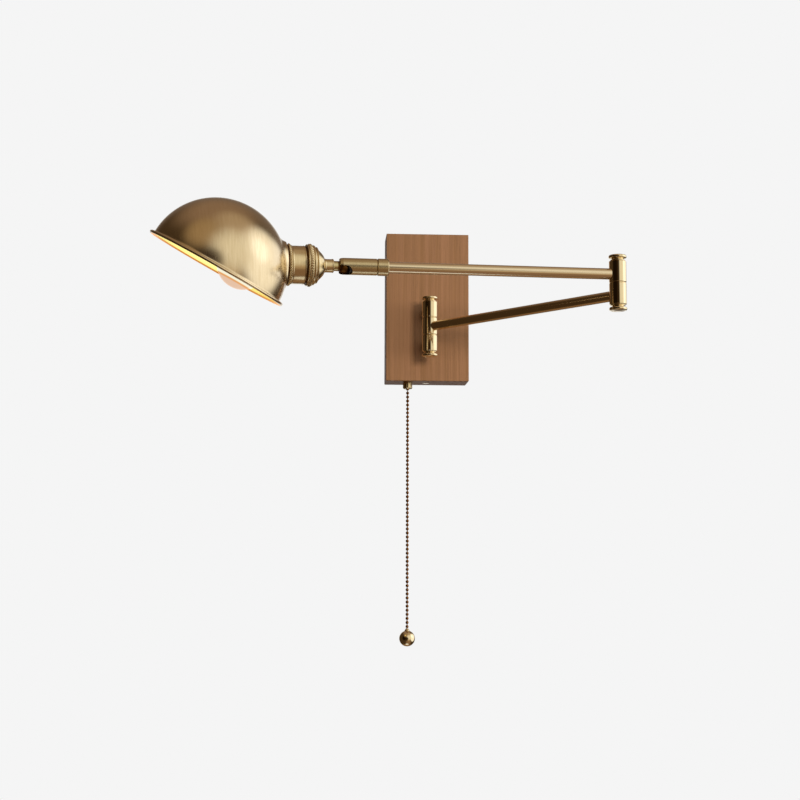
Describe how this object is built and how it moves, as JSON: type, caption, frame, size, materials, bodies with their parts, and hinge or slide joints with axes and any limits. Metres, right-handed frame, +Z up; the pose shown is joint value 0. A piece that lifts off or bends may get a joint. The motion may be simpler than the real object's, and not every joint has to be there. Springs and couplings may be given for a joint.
{
  "type": "wall lamp",
  "caption": "Swing-arm wall lamp: wooden wall plate with pull-chain switch, two hinged brass arms, slotted ball swivel and a half-dome brass shade",
  "frame": {"origin": "centre of the wooden plate's back face, on the wall", "axes": "+X to the right seen from the front, +Y into the wall, +Z up"},
  "size_m": [0.4156, 0.3417, 0.4217],
  "materials": {
    "wood": "oiled walnut, fine upright grain, matt",
    "brushed_brass": "brushed and antiqued, satin",
    "polished_brass": "polished, warm reflections",
    "zinc_steel": "zinc plated, satin",
    "black_plastic": "moulded, matt black",
    "porcelain": "white ceramic look, semi-gloss",
    "flex": "insulated flex, matt",
    "bulb_glass": "frosted warm white, lit",
    "filament": "phosphor-coated strips, lit"
  },
  "bodies": {
    "wall_base": {"wood_backplate": "wood", "mounting_strap": "zinc_steel", "base_lock_screws": "brushed_brass", "terminal_block": "porcelain", "terminal_screws": "zinc_steel", "base_wiring": "flex", "pull_switch_body": "black_plastic", "switch_nipple": "brushed_brass", "switch_nut": "polished_brass", "wall_knuckle_top": "polished_brass", "wall_knuckle_bottom": "polished_brass", "knuckle_nuts": "zinc_steel", "wall_hinge_pin": "brushed_brass", "wall_hinge_cap_top": "polished_brass", "wall_hinge_cap_bottom": "polished_brass", "wall_hinge_washers": "black_plastic"},
    "lower_arm": {"wall_knuckle_middle": "polished_brass", "lower_arm_tube": "brushed_brass", "lower_arm_flex": "flex", "elbow_barrel_lower": "polished_brass", "elbow_pin": "brushed_brass", "elbow_cap_top": "polished_brass", "elbow_cap_bottom": "polished_brass", "elbow_washer": "black_plastic"},
    "upper_arm": {"elbow_barrel_upper": "polished_brass", "upper_arm_tube": "brushed_brass", "upper_arm_flex": "flex", "arm_end_collar": "brushed_brass"},
    "swivel": {"swivel_sleeve": "brushed_brass", "swivel_seat": "black_plastic", "swivel_springs": "zinc_steel", "sleeve_stop_screw": "zinc_steel"},
    "ball": {"swivel_ball_stud": "polished_brass", "stem_nut": "zinc_steel"},
    "head": {"stem_collar": "brushed_brass", "holder_cap": "brushed_brass", "rear_ring": "brushed_brass", "holder_shell": "brushed_brass", "front_ring": "brushed_brass", "inner_shade_ring": "brushed_brass", "holder_insulator": "porcelain", "screw_shell": "polished_brass", "centre_contact": "zinc_steel", "holder_screws": "zinc_steel", "lamp_leads": "flex", "shade": "brushed_brass", "bulb_cap": "zinc_steel", "bulb_glass": "bulb_glass", "bulb_filament": "filament"},
    "pull": {"switch_plunger": "brushed_brass"},
    "chain_gimbal": {"chain_top_bead": "polished_brass"},
    "chain": {"pull_chain": "polished_brass", "chain_bell": "polished_brass", "chain_ball": "polished_brass"}
  },
  "joints": [
    {"name": "wall_hinge", "type": "hinge", "parent": "wall_base", "child": "lower_arm", "pos_m": [0, -0.063, -0.025], "axis": [0, 0, -1], "range_deg": [-49, 130]},
    {"name": "elbow", "type": "hinge", "parent": "lower_arm", "child": "upper_arm", "pos_m": [0.15296, -0.24272, -0.00605], "axis": [0, 0, 1], "range_deg": [-33, 206]},
    {"name": "sleeve_turn", "type": "hinge", "parent": "upper_arm", "child": "swivel", "pos_m": [-0.09091, -0.25892, -0.00605], "axis": [-0.9978, -0.0663, 0], "range_deg": [-155, 155]},
    {"name": "ball_tilt", "type": "hinge", "parent": "swivel", "child": "ball", "pos_m": [-0.09091, -0.25892, -0.00605], "axis": [0.0493, -0.7415, 0.6691], "range_deg": [-6, 82]},
    {"name": "head_turn", "type": "hinge", "parent": "ball", "child": "head", "pos_m": [-0.09091, -0.25892, -0.00605], "axis": [-0.982, -0.1874, -0.0259], "range_deg": [-170, 170]},
    {"name": "cord_pull", "type": "slide", "parent": "wall_base", "child": "pull", "axis": [0, 0, -1], "range_m": [0, 0.006], "stiffness_N_per_m": 400, "springref_m": -0.001},
    {"name": "chain_swing_front", "type": "hinge", "parent": "pull", "child": "chain_gimbal", "pos_m": [-0.0195, -0.021, -0.0835], "axis": [1, 0, 0], "range_deg": [-25, 2.5]},
    {"name": "chain_swing_side", "type": "hinge", "parent": "chain_gimbal", "child": "chain", "pos_m": [-0.0195, -0.021, -0.0835], "axis": [0, 1, 0], "range_deg": [-25, 25]}
  ]
}
